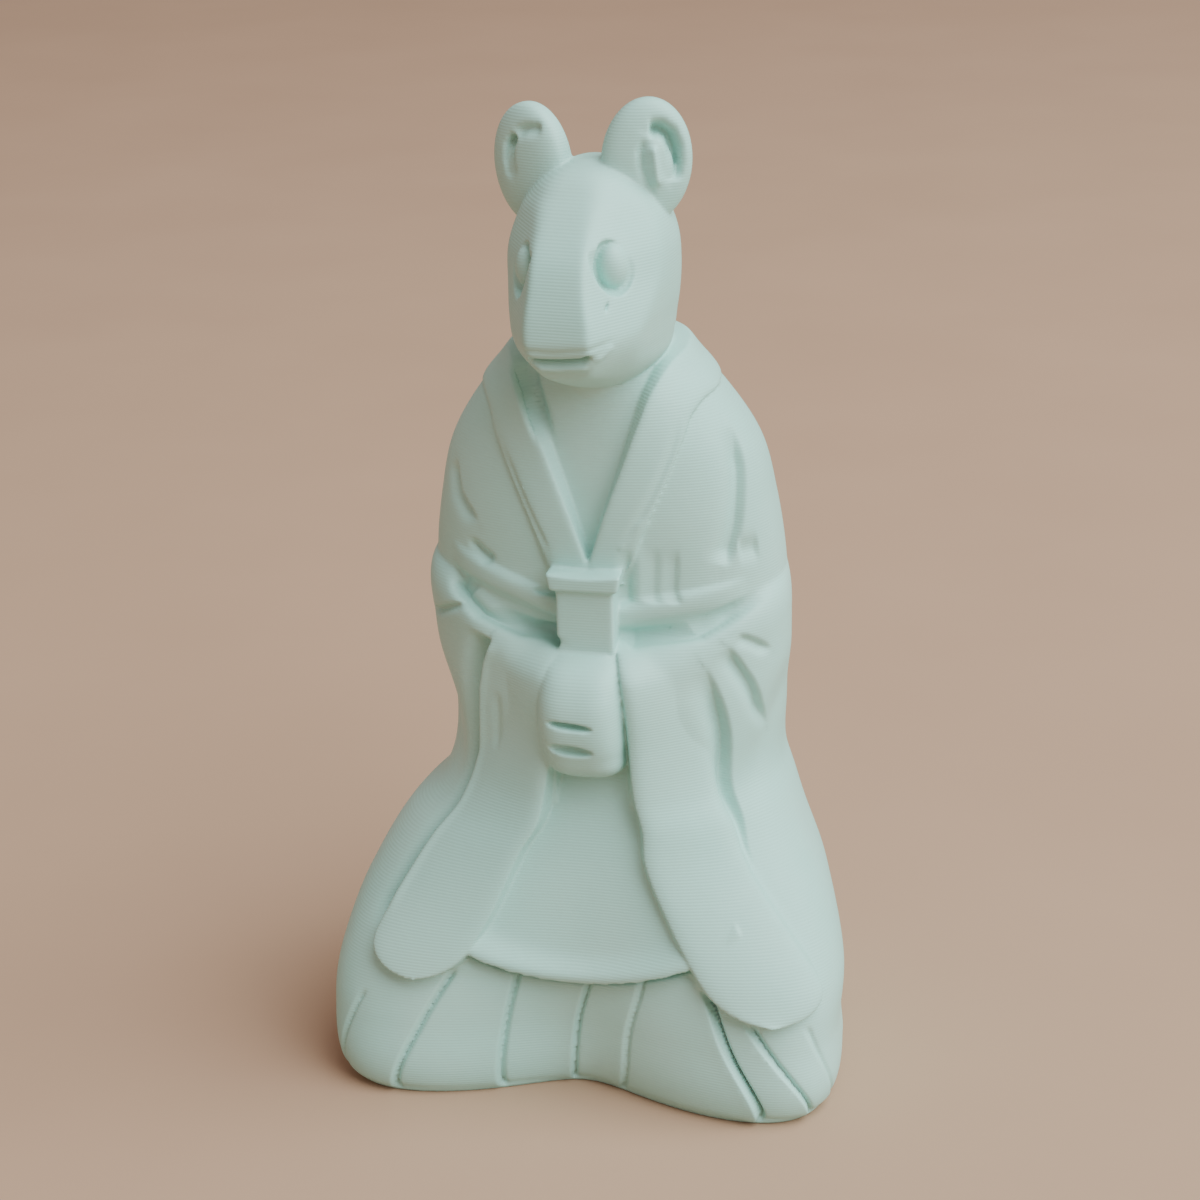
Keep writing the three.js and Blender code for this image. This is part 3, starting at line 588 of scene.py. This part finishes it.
def bar_form(bar):
    """An upright bar of rounded oblongs. Its ends are rounded in by a quarter circle, its top is dished
    and it widens by flare towards the top."""
    count, length = GRIDS["bar"]
    turn, along = np.meshgrid(ring(count), np.linspace(0, 1, length))
    end = bar["rim"] / (bar["top"] - bar["low"])
    inward = np.maximum(1 - np.minimum(along, 1 - along) / end, 0)
    shrink = bar["rim"] * (1 - np.sqrt(1 - inward**2))
    half = bar["half"] + bar["flare"] * along - shrink
    depth = (bar["back"] - bar["front"]) / 2 - shrink
    reach = np.abs(np.sin(turn) / half) ** BAR_POWER + np.abs(np.cos(turn) / depth) ** BAR_POWER
    z, middle = mix(bar["low"], bar["top"], along), (bar["front"] + bar["back"]) / 2
    points = around(turn, reach ** (-1 / BAR_POWER), z, middle)
    across = points[..., X] / (bar["half"] + bar["flare"])
    points[..., Z] -= bar["dish"] * (1 - across**2) * ease((along - 0.5) * 2)
    return skin(points)


VOXEL = 0.00012  # metres, the cell of the one closed skin over all the forms
MOST_TRIANGLES = 190000


def joined(name, forms, voxel):
    """The forms as one mesh, wrapped in a single skin of small even cells."""
    places, quads, fans, count = [], [], [], 0
    for points, four, three in forms:
        places.append(points)
        quads.append(four + count)
        fans.append(three + count)
        count += len(points)
    piece = placed(name, mesh_of(name, *(np.concatenate(part) for part in (places, quads, fans))))
    remesh = piece.modifiers.new("one skin", "REMESH")
    remesh.mode, remesh.voxel_size, remesh.adaptivity = "VOXEL", voxel, 0
    apply_modifiers(piece)
    return piece


def placed(name, data):
    """A new object of the scene, with its mesh, its camera or its light."""
    thing = bpy.data.objects.new(name, data)
    bpy.context.collection.objects.link(thing)
    return thing


def mesh_of(name, points, quads, fans):
    """A mesh in metres from points in shares, with its faces as whole arrays."""
    mesh = bpy.data.meshes.new(name)
    mesh.vertices.add(len(points))
    mesh.vertices.foreach_set("co", ((points - MIDDLE) * SHARE).astype(np.float32).ravel())
    corners = np.concatenate([quads.ravel(), fans.ravel()])
    sizes = np.concatenate([np.full(len(quads), 4), np.full(len(fans), 3)])
    mesh.loops.add(len(corners))
    mesh.loops.foreach_set("vertex_index", corners.astype(np.int32))
    mesh.polygons.add(len(sizes))
    mesh.polygons.foreach_set("loop_start", (np.cumsum(sizes) - sizes).astype(np.int32))
    mesh.update(calc_edges=True)
    return mesh


def apply_modifiers(piece):
    """The piece's mesh becomes what its modifiers make of it."""
    bpy.context.view_layer.update()
    evaluated = piece.evaluated_get(bpy.context.evaluated_depsgraph_get())
    made = bpy.data.meshes.new_from_object(evaluated)
    piece.modifiers.clear()
    old, piece.data = piece.data, made
    bpy.data.meshes.remove(old)


def read_points(piece):
    """The piece's points, in shares."""
    points = np.empty(len(piece.data.vertices) * 3, np.float32)
    piece.data.vertices.foreach_get("co", points)
    return points.reshape(-1, 3).astype(float) / SHARE + MIDDLE


def write_points(piece, points):
    """Points in shares put back into the piece."""
    piece.data.vertices.foreach_set("co", ((points - MIDDLE) * SHARE).astype(np.float32).ravel())
    piece.data.update()


def read_normals(piece):
    """The way out at each of the piece's points."""
    out = np.empty(len(piece.data.vertices) * 3, np.float32)
    piece.data.vertices.foreach_get("normal", out)
    return out.reshape(-1, 3).astype(float)


def soften(piece, weight, rounds):
    """Each point moves towards the mean of its neighbours by its own weight, a number of times over."""
    edges = np.empty(len(piece.data.edges) * 2, np.int32)
    piece.data.edges.foreach_get("vertices", edges)
    a, b = edges.reshape(-1, 2).T
    points = read_points(piece)
    count = np.bincount(a, minlength=len(points)) + np.bincount(b, minlength=len(points))
    share = (weight(points) if callable(weight) else np.full(len(points), weight))[:, None]
    for _ in range(rounds):
        total = np.stack(
            [
                np.bincount(a, points[b, axis], len(points)) + np.bincount(b, points[a, axis], len(points))
                for axis in (X, Y, Z)
            ],
            -1,
        )
        points = points + share * (total / count[:, None] - points)
    write_points(piece, points)


# The skirt's pleats: the angle from the front at the top and at the ground, the height of the top, the
# groove's depth and half its width.
PLEATS = (
    (-74, -79, 9, 0.3, 0.3),
    (-43, -50, 11, 0.25, 0.3),
    (-28.3, -37.5, 14, 0.6, 0.26),
    (-15.3, -20.7, 14.5, 0.55, 0.26),
    (3.2, -4.3, 14, 0.55, 0.25),
    (16.4, 11, 14.6, 0.35, 0.25),
    (28, 37.5, 15, 1.1, 0.26),
    (35.3, 47.5, 11.2, 0.7, 0.34),
    (45.8, 55.5, 10.6, 0.25, 0.4),
    (72, 77, 9, 0.35, 0.3),
    (94, 98, 12, 0.5, 0.3),
    (126, 131, 14, 0.5, 0.3),
    (160, 163, 14, 0.5, 0.3),
    (-165, -167, 15, 0.5, 0.3),
    (-130, -134, 14, 0.5, 0.3),
    (-102, -105, 11, 0.5, 0.3),
)
# How the cloth lifts and sinks beside a groove, as shares of its depth and as widths, the height over
# which a pleat fades at its top, and the power that makes its groove steep.
PLEAT = dict(lift=0.35, lift_wide=1.0, sink=0.3, sink_wide=2.4, top_fade=1.2, sharp=2.6)


def pleat_relief(turn, z, radius):
    """Each pleat is a narrow groove down a slanting line. The cloth on one side of it lifts a little
    towards it, and the cloth on the other side starts a little lower and eases back."""
    relief = np.zeros(z.shape)
    for high, low, top, deep, wide in PLEATS:
        line = np.radians(mix(high, low, np.clip((top - z) / top, 0, 1)))
        away = (turn - line) * radius - wide
        groove = -deep * np.exp(-(np.abs(away / wide) ** PLEAT["sharp"]))
        lift = PLEAT["lift"] * deep * np.where(away < 0, np.exp(away / PLEAT["lift_wide"]), 0)
        sink = -PLEAT["sink"] * deep * np.where(away > 0, np.exp(-away / PLEAT["sink_wide"]), 0)
        relief += (groove + lift + sink) * ease((top - z) / PLEAT["top_fade"])
    return relief


EDGE_PLACES = 12  # on a line along a sleeve's edge
HEM_PLACES = dict(count=15, across=0.84)  # on the line under the hem, and its share of the hem


def sleeve_edge(side, first, last, beyond):
    """Places beyond a sleeve's outer edge by some degrees, from a share of the way down it to another."""
    down = np.linspace(first, last, EDGE_PLACES)
    angle = side * (sleeve_edges(side, down)[1] + beyond)
    return list(zip(angle, mix(SLEEVE["top"], SLEEVE_LOW[side], down)))


def hem_line(drop):
    """Places just under the front panel's hem, from the figure's right to its left."""
    across = np.linspace(-HEM_PLACES["across"], HEM_PLACES["across"], HEM_PLACES["count"])
    return list(zip(np.degrees(PANEL["half"]) * across, panel_hem(across) - drop))


# Folds of the robe: a line of (degrees from the front, height) places, its depth, its widths on the right
# and on the left of the way along it, and how soon it fades at its ends.
ROBE_CREASES = (
    # beside the right sleeve and beside the left one
    (sleeve_edge(RIGHT, 0.01, 0.9, 1.4), 1.9, 1.3, 0.24, (0.05, 0.12)),
    (sleeve_edge(RIGHT, 0.02, 0.86, -0.9), -0.25, 0.25, 0.5, (0.05, 0.12)),
    (sleeve_edge(LEFT, 0.07, 0.62, 1.4), 1.5, 1.3, 0.3, (0.35, 0.45)),
    # slanting away from the elbows
    (((55.5, 47), (62.8, 43), (67.4, 39.8), (73.5, 37)), 1.0, 1.0, 0.3, (0.25, 0.4)),
    (((59.5, 48.1), (65.8, 46.9), (71.5, 45.6)), 0.6, 0.7, 0.35, (0.3, 0.4)),
    (((-41.4, 41.8), (-42.7, 35.1)), 0.2, 0.5, 0.4, (0.3, 0.3)),
    (((-78, 47.4), (-69, 48.3), (-56, 50.2)), 0.7, 0.5, 0.3, (0.3, 0.3)),
    # between arm and chest
    (((75, 68.5), (72.1, 64.6), (66.8, 59.4), (61.2, 55)), 0.95, 1.2, 0.45, (0.3, 0.15)),
    (((66, 56.4), (74, 56.4)), 0.45, 1.1, 1.1, (0.3, 0.3)),
    (((-71.5, 64.2), (-66.3, 61.1), (-56.9, 58.6)), 0.6, 0.9, 0.35, (0.25, 0.25)),
    (((-60, 56.6), (-55.2, 55.5), (-49.5, 54.6)), 0.65, 0.45, 0.5, (0.3, 0.3)),
    (((-64, 52.2), (-56.5, 51.2)), 0.75, 0.35, 0.5, (0.3, 0.3)),
    # small upright folds beside the tablet
    (((21.5, 57.5), (21.2, 51.4)), 0.45, 0.7, 0.4, (0.4, 0.1)),
    (((28, 57.8), (27.3, 51.4)), -0.16, 0.5, 0.5, (0.4, 0.1)),
    (((35.4, 57.5), (34, 51.4)), 0.22, 0.55, 0.5, (0.4, 0.1)),
    (((43.7, 57.2), (42.4, 51.4)), 0.3, 0.9, 0.35, (0.4, 0.1)),
    # along the collar
    (((-44.9, 67.1), (-20.7, 56.7)), 0.2, 0.45, 0.25, (0.3, 0.2)),
    (((53, 70.6), (35.4, 63.3), (16.7, 56.7)), 0.2, 0.45, 0.35, (0.3, 0.2)),
    (((29.6, 60.7), (16.7, 57.1)), -0.15, 0.3, 0.3, (0.3, 0.2)),
    (((-56, 75), (-45, 73.5), (-38, 72), (-33, 70.5), (-26, 67.7)), 1.1, 0.3, 0.6, (0.4, 0.5)),
    # above and below the sash
    (((-31, 52.4), (-14, 52.2)), 0.5, 0.3, 0.3, (0.3, 0.2)),
    (
        ((-66.8, 53.1), (-61, 51.5), (-50.4, 49.5), (-34.9, 48.3), (-12.5, 47.7)),
        1.4, 0.5, 0.42, (0.25, 0.1),
    ),
    (((17.5, 47.8), (48, 48.7), (55.8, 49.6), (62.8, 50.6), (72, 51.6)), 1.2, 0.55, 0.42, (0.1, 0.3)),
)
# The skirt falls in a little just under the front panel's hem.
SKIRT_CREASES = ((hem_line(0.4), 0.7, 0.3, 0.3, (0.1, 0.1)),)
# The mouth's slit, the folds about it and a nick in the cheek, in the head's own upright angles and
# heights.
HEAD_CREASES = (
    (((-13.5, 78.7), (-8, 78.45), (0, 78.4), (9, 78.5), (13.5, 78.9)), 1.4, 0.28, 0.24, (0.06, 0.12)),
    (((-15, 79.8), (-1.3, 79.5), (12.4, 79.7), (19.7, 80), (24, 80.3)), 0.14, 0.25, 0.3, (0.1, 0.3)),
    (((-12, 77.85), (-1, 77.7), (12, 77.85)), -0.3, 0.3, 0.3, (0.15, 0.15)),
    (((13.5, 78.4), (18, 78.9), (22.5, 79.7)), -0.18, 0.35, 0.3, (0.3, 0.3)),
    (((20.8, 83.3), (21.9, 83.2)), 0.5, 0.3, 0.3, (0.2, 0.2)),
)


def creases(turn, z, radius, rows):
    """All of a form's folds together."""
    relief = np.zeros(z.shape)
    for path, deep, right, left, fade in rows:
        line = [(math.radians(angle), height) for angle, height in path]
        relief += crease(turn, z, radius, line, deep, right, left, fade)
    return relief


# Where each kind of relief is let in: levels of standing proud, of height and of reach, each with the
# distance over which it eases in. Below the waist the folds may lie further out, on the sleeves.
SKIRT = dict(proud=(0.75, 0.35), foot=(0.25, 0.5), top=(17, 1.5))
BODY = dict(proud=3.5, sleeves=3.0, waist=50, soft=0.5, foot=(2, 2), top=(76, 1))
UNDER_HEM = (1.1, 0.3)
FACE = dict(reach=(7, 2), low=75)


def carve(piece):
    """Relief along the way out of the skin, worked out from each point's angle and height on the robe
    and on the head. Pleats are kept to the skirt's own surface, below the hem and the sleeves."""
    points, out = read_points(piece), read_normals(piece)
    turn, z = robe_turn(points), points[:, Z]
    radius = robe_radius(turn, z)
    proud = np.hypot(robe_x(points), points[:, Y]) - radius
    skirt = below(proud, *SKIRT["proud"]) * above(z, *SKIRT["foot"]) * below(z, *SKIRT["top"])
    farthest = BODY["proud"] + BODY["sleeves"] * (z < BODY["waist"])
    body = below(np.abs(proud), farthest, BODY["soft"]) * above(z, *BODY["foot"]) * below(z, *BODY["top"])
    relief = pleat_relief(turn, z, radius) * skirt + creases(turn, z, radius, ROBE_CREASES) * body
    relief += creases(turn, z, radius, SKIRT_CREASES) * below(proud, *UNDER_HEM)
    upright = unsettle(points) - (0, HEAD_Y, 0)
    head_turn, head_z = np.arctan2(upright[:, X], -upright[:, Y]), upright[:, Z]
    reach = np.hypot(upright[:, X], upright[:, Y])
    face = above(reach, *FACE["reach"]) * (z > FACE["low"])
    relief += creases(head_turn, head_z, reach, HEAD_CREASES) * face
    write_points(piece, points + relief[:, None] * out)


# Where the cloth is smoothed: outside an angle, above a height and below a height, each with the
# distance over which that eases in.
SHELVES = ((18, 6), (42, 4), (53, 2))
SIDES = ((53, 6), (24, 4), (53, 2))
OUTER_EDGE = ((46, 4), (13, 4), (50, 3))
SOFTNESS = dict(least=0.01, most=0.6, rounds=45)
FIRST_SOFTNESS = 0.2  # for one round over the whole skin, before that of the cloth


def patch(turn, z, outside, over, under):
    """1 inside a patch of the robe, easing to 0 at its borders."""
    return above(turn, *outside) * above(z, *over) * below(z, *under)


def cloth_softness(points):
    """How strongly the skin is smoothed: over the forearms' shelves, over their outer sides down to the
    hips, over the left sleeve's outer edge, and hardly at all elsewhere."""
    turn, z = np.degrees(robe_turn(points)), points[:, Z]
    shelves, sides = patch(np.abs(turn), z, *SHELVES), patch(np.abs(turn), z, *SIDES)
    edge = patch(turn, z, *OUTER_EDGE)
    return SOFTNESS["least"] + SOFTNESS["most"] * np.maximum(np.maximum(shelves, sides), edge)


forms = [robe_form(), panel_form(), sash_form(), neck_form(), head_form(), hands_form()]
forms += [bar_form(TABLET), bar_form(CAP)]
for side in (LEFT, RIGHT):
    forms += [sleeve_form(side), drape_form(side), collar_form(side)]
    forms += [ear_form(side), ear_root_form(side)]

figure = joined("rat_courtier_print", forms, VOXEL)
soften(figure, FIRST_SOFTNESS, 1)
soften(figure, cloth_softness, SOFTNESS["rounds"])
carve(figure)


def thin_out(piece, most):
    """Fewer faces where the skin is smooth, down to a number of triangles."""
    faces = sum(len(p.vertices) - 2 for p in piece.data.polygons)
    decimate = piece.modifiers.new("fewer faces", "DECIMATE")
    decimate.ratio = min(1.0, most / faces)
    apply_modifiers(piece)


thin_out(figure, MOST_TRIANGLES)
figure.data.shade_smooth()


# The finishes. In the mixing node, the colours have these places among its inputs and outputs.
MIX_FIRST, MIX_SECOND, MIX_RESULT = 6, 7, 2
DRIFT_DETAIL = 3


def colour_drift():
    """A node group: a broad noise, and a colour that goes from the first to the second while the noise
    goes from a low level to a high one."""
    group = bpy.data.node_groups.new("colour_drift", "ShaderNodeTree")
    number, color = "NodeSocketFloat", "NodeSocketColor"
    given = dict(Place="NodeSocketVector", Scale=number, Low=number, High=number, First=color, Second=color)
    for name, kind in given.items():
        group.interface.new_socket(name, in_out="INPUT", socket_type=kind)
    for name, kind in dict(Color=color, Amount=number).items():
        group.interface.new_socket(name, in_out="OUTPUT", socket_type=kind)
    add, link = group.nodes.new, group.links.new
    start, end = add("NodeGroupInput"), add("NodeGroupOutput")
    noise = add("ShaderNodeTexNoise")
    noise.inputs["Detail"].default_value = DRIFT_DETAIL
    link(start.outputs["Place"], noise.inputs["Vector"])
    link(start.outputs["Scale"], noise.inputs["Scale"])
    share = add("ShaderNodeMapRange")
    link(noise.outputs["Fac"], share.inputs["Value"])
    link(start.outputs["Low"], share.inputs["From Min"])
    link(start.outputs["High"], share.inputs["From Max"])
    tint = add("ShaderNodeMix")
    tint.data_type = "RGBA"
    link(share.outputs["Result"], tint.inputs["Factor"])
    link(start.outputs["First"], tint.inputs[MIX_FIRST])
    link(start.outputs["Second"], tint.inputs[MIX_SECOND])
    link(tint.outputs[MIX_RESULT], end.inputs["Color"])
    link(noise.outputs["Fac"], end.inputs["Amount"])
    return group


COLOUR_DRIFT = colour_drift()


def drifting_material(name, drift):
    """A new material whose base colour drifts. Gives the material, its tree, its shader, the object's
    own coordinates and the drift."""
    material = bpy.data.materials.new(name)
    material.use_nodes = True
    tree = material.node_tree
    shader = tree.nodes["Principled BSDF"]
    place, node = tree.nodes.new("ShaderNodeTexCoord"), tree.nodes.new("ShaderNodeGroup")
    node.node_tree = COLOUR_DRIFT
    for given, value in drift.items():
        node.inputs[given].default_value = value
    tree.links.new(place.outputs["Object"], node.inputs["Place"])
    tree.links.new(node.outputs["Color"], shader.inputs["Base Color"])
    return material, tree, shader, place, node


def set_roughness(tree, shader, amount, low, high):
    """The roughness goes from low to high with an amount from 0 to 1."""
    gloss = tree.nodes.new("ShaderNodeMapRange")
    gloss.inputs["To Min"].default_value = low
    gloss.inputs["To Max"].default_value = high
    tree.links.new(amount, gloss.inputs["Value"])
    tree.links.new(gloss.outputs["Result"], shader.inputs["Roughness"])


PRINT_DRIFT = dict(
    Scale=70,
    Low=0.35,
    High=0.68,
    First=(0.385, 0.665, 0.61, 1),
    Second=(0.445, 0.70, 0.645, 1),
)
# The noise's scale and detail, the roughness, the share of the layers in the bump, and the bump's
# strength and height in metres.
PRINT = dict(grain=900, detail=4, smooth=0.42, rough=0.6, lines=0.25, strength=0.4, height=0.00004)


def printed_plastic():
    """Pale mint plastic: the colour drifts between a cooler and a warmer mint, a fine noise varies the
    gloss, and the same noise with a sine of the height makes the bump of the layers."""
    material, tree, shader, place, _ = drifting_material("pale_mint_print", PRINT_DRIFT)
    add, link = tree.nodes.new, tree.links.new
    height = add("ShaderNodeSeparateXYZ")
    link(place.outputs["Object"], height.inputs[0])
    count = add("ShaderNodeMath")
    count.operation = "MULTIPLY"
    count.inputs[1].default_value = 2 * math.pi / LAYER
    link(height.outputs["Z"], count.inputs[0])
    wave = add("ShaderNodeMath")
    wave.operation = "SINE"
    link(count.outputs[0], wave.inputs[0])
    grain = add("ShaderNodeTexNoise")
    grain.inputs["Scale"].default_value = PRINT["grain"]
    grain.inputs["Detail"].default_value = PRINT["detail"]
    link(place.outputs["Object"], grain.inputs["Vector"])
    set_roughness(tree, shader, grain.outputs["Fac"], PRINT["smooth"], PRINT["rough"])
    mixed = add("ShaderNodeMath")
    mixed.operation = "MULTIPLY_ADD"
    mixed.inputs[1].default_value = PRINT["lines"]
    link(wave.outputs[0], mixed.inputs[0])
    link(grain.outputs["Fac"], mixed.inputs[2])
    bump = add("ShaderNodeBump")
    bump.inputs["Strength"].default_value = PRINT["strength"]
    bump.inputs["Distance"].default_value = PRINT["height"]
    link(mixed.outputs[0], bump.inputs["Height"])
    link(bump.outputs["Normal"], shader.inputs["Normal"])
    return material


figure.data.materials.clear()
figure.data.materials.append(printed_plastic())
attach(figure, "root")
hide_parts(NODE)


TABLE_DRIFT = dict(
    Scale=30,
    Low=0.3,
    High=0.7,
    First=(0.45, 0.268, 0.18, 1),
    Second=(0.47, 0.282, 0.19, 1),
)
TABLE = dict(half=3.0, smooth=0.7, rough=0.8)


def table_top():
    """A plain pale floor: one large flat sheet, whose colour and gloss drift a little."""
    half = TABLE["half"]
    corners = [(-half, -half, 0), (half, -half, 0), (half, half, 0), (-half, half, 0)]
    mesh = bpy.data.meshes.new("table_top")
    mesh.from_pydata(corners, [], [(0, 1, 2, 3)])
    floor = placed("table_top", mesh)
    material, tree, shader, _, drift = drifting_material("pale_table", TABLE_DRIFT)
    set_roughness(tree, shader, drift.outputs["Amount"], TABLE["smooth"], TABLE["rough"])
    mesh.materials.append(material)


table_top()

# The camera looks down on the figure from its front left, with a slight roll.
VIEW = dict(azimuth=13.0, elevation=21.0, distance=0.2, roll=-1.5, aside=-0.00082, up=0.0335)
PICTURE = 1200
FOCAL = 2740  # in pixels of the picture
SENSOR = 36.0  # in millimetres
NEAREST = 0.01  # metres in front of the camera from where things are seen


def photo_camera():
    """A camera set back from its target along the view, and rolled about it."""
    turn, rise, roll = (math.radians(VIEW[name]) for name in ("azimuth", "elevation", "roll"))
    right = np.array([math.cos(turn), math.sin(turn), 0])
    back = np.array([math.sin(turn) * math.cos(rise), -math.cos(turn) * math.cos(rise), math.sin(rise)])
    up = np.cross(back, right)
    target = VIEW["aside"] * right + (0, 0, VIEW["up"]) - MIDDLE * SHARE
    place = target + VIEW["distance"] * back
    across = right * math.cos(roll) + up * math.sin(roll)
    upward = up * math.cos(roll) - right * math.sin(roll)
    matrix = np.eye(4)
    matrix[:3] = np.stack([across, upward, back, place], -1)
    data = bpy.data.cameras.new("photo_camera")
    data.sensor_width, data.lens, data.clip_start = SENSOR, SENSOR * FOCAL / PICTURE, NEAREST
    camera = placed("photo_camera", data)
    camera.matrix_world = Matrix(matrix.tolist())
    bpy.context.scene.camera = camera


def soft_light(name, place, target, size, power, color):
    """A square soft light at a place, facing a target."""
    data = bpy.data.lights.new(name, "AREA")
    data.size, data.energy, data.color = size, power, color
    light = placed(name, data)
    light.location = place
    light.rotation_euler = (Vector(place) - Vector(target)).to_track_quat("Z", "Y").to_euler()


def room_light(color, strength):
    """Even light from all sides."""
    world = bpy.data.worlds.new("room")
    world.use_nodes = True
    background = world.node_tree.nodes["Background"]
    background.inputs["Color"].default_value = color
    background.inputs["Strength"].default_value = strength
    bpy.context.scene.world = world


WINDOW = dict(place=(0.53, -0.14, 0.66), target=(0, 0, 0.03), size=1.0, power=18.5, color=(0.82, 1.0, 1.0))
ROOM = dict(color=(1.0, 0.80, 0.70, 1), strength=0.44)

photo_camera()
soft_light("window", **WINDOW)
room_light(**ROOM)
